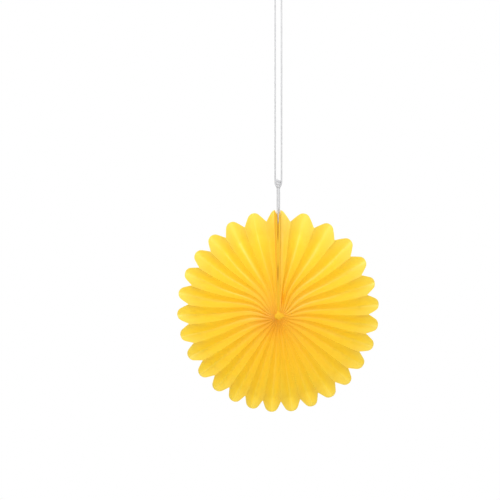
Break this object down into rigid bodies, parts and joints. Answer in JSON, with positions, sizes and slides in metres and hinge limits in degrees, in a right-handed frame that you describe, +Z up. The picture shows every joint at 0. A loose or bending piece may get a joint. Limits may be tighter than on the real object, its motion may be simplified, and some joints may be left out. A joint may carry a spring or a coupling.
{
  "type": "paper fan medallion",
  "caption": "Round pleated tissue paper fan with a scalloped rim, closed along one seam and hung from a knotted string loop.",
  "frame": {"origin": "inside top of the string loop, where a hook bears on it", "axes": "+Z up, the fan's front faces -Y, +X to the right as seen from the front"},
  "size_m": [0.1522, 0.0132, 0.3231],
  "materials": {
    "tissue": "soft matte tissue, slightly see-through",
    "card": "matte",
    "pad": "matte sticky foam",
    "thread": "matte",
    "string": "soft twisted cotton"
  },
  "bodies": {
    "root": {"pleated_fan": "tissue", "end_card_left": "card", "end_card_right": "card", "seam_pad_outer": "pad", "seam_pad_inner": "pad", "hub_thread": "thread", "string_knot": "string", "string_loop": "string", "string_leg_left": "string", "string_leg_right": "string"}
  },
  "joints": []
}
